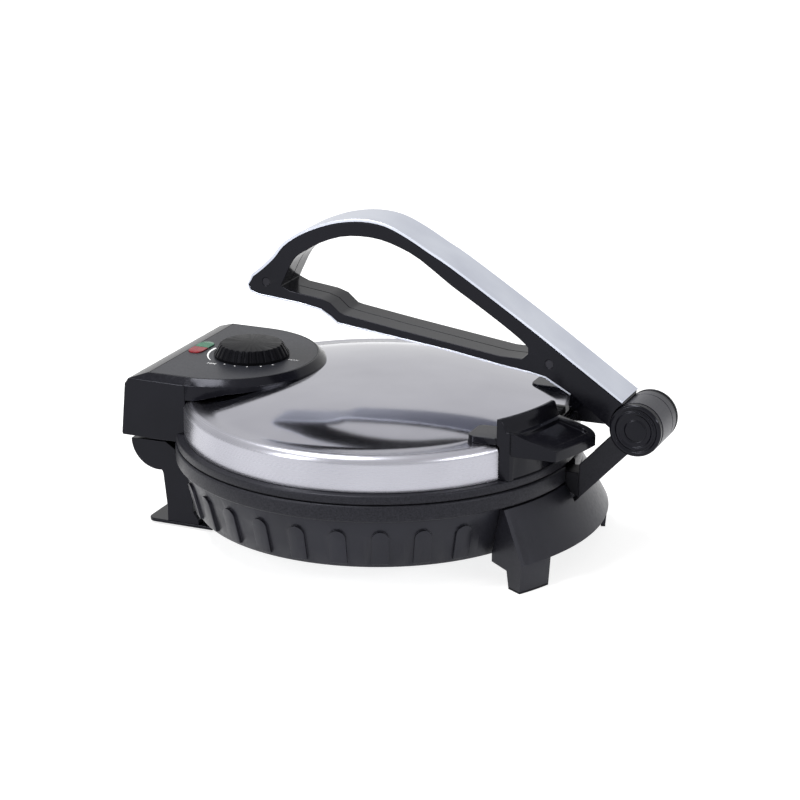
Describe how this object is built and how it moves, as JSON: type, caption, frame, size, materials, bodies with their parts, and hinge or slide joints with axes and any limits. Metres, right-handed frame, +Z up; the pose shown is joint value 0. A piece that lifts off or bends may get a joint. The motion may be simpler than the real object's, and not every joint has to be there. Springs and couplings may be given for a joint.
{
  "type": "electric roti maker",
  "caption": "Electric flatbread press with a hinged round steel lid, black ribbed base, rotary heat control and a looped lever over the lid.",
  "frame": {"origin": "on the table, under the middle of the overall box at rest", "axes": "+Z up, +Y towards the lid hinge at the rear, +X to the right as seen from the front"},
  "size_m": [0.2744, 0.3632, 0.2169],
  "materials": {
    "black_gloss": "glossy black moulding",
    "coated_metal": "rough black coating",
    "coated_plate": "black non-stick coating",
    "rubber": "matt",
    "sheet_steel": "plain sheet",
    "plated_steel": "zinc plated",
    "heater_tube": "annealed",
    "ceramic": "pale insulator",
    "steel_cover": "polished and finely brushed",
    "panel_grey": "glossy dark grey",
    "red_lens": "clear red",
    "green_lens": "clear green",
    "knob_black": "satin black",
    "coated_steel": "black lacquer",
    "silver_trim": "satin silver",
    "barrel_grey": "satin dark grey"
  },
  "bodies": {
    "base": {"base_shell": "black_gloss", "base_rim": "coated_metal", "front_apron": "black_gloss", "rear_housing": "black_gloss", "rear_foot": "black_gloss", "foot_soles": "rubber", "bottom_cover": "sheet_steel", "cover_screws": "plated_steel", "lower_plate": "coated_plate", "lower_heater": "heater_tube", "heat_shield": "sheet_steel", "shield_studs": "plated_steel", "terminal_block": "ceramic", "cord_gland": "rubber", "hinge_pins": "plated_steel", "pivot_pin": "plated_steel"},
    "lid": {"lid_rim": "coated_metal", "lid_cover": "steel_cover", "upper_plate": "coated_plate", "upper_heater": "heater_tube", "front_grip": "black_gloss", "press_pad": "rubber", "control_housing": "black_gloss", "control_panel": "panel_grey", "red_lens": "red_lens", "green_lens": "green_lens", "signal_lamps": "ceramic", "thermostat": "ceramic", "hinge_ears": "plated_steel", "ear_screws": "plated_steel"},
    "knob": {"knob": "knob_black", "knob_shaft": "plated_steel"},
    "link": {"press_link": "coated_steel", "barrel_axle": "plated_steel", "barrel_caps": "black_gloss"},
    "lever": {"lever_left": "black_gloss", "lever_right": "black_gloss", "lever_trim": "silver_trim", "barrel_sleeve": "barrel_grey", "lever_screws": "plated_steel"}
  },
  "joints": [
    {"name": "lid_hinge", "type": "hinge", "parent": "base", "child": "lid", "pos_m": [0, 0.15865, 0.06], "axis": [-1, 0, 0], "range_deg": [0, 95]},
    {"name": "lever_press", "type": "hinge", "parent": "base", "child": "link", "pos_m": [0, -0.10735, 0.056], "axis": [-1, 0, 0], "range_deg": [0, 8]},
    {"name": "lever_swing", "type": "hinge", "parent": "link", "child": "lever", "pos_m": [0, -0.16435, 0.098], "axis": [1, 0, 0], "range_deg": [0, 171]},
    {"name": "knob_turn", "type": "hinge", "parent": "lid", "child": "knob", "pos_m": [0, 0.11665, 0.113], "axis": [0, 0, 1], "range_deg": [0, 270]}
  ],
  "couplings": [
    {"joint": "lever_swing", "follows": "lid_hinge", "ratio": 1.8}
  ]
}
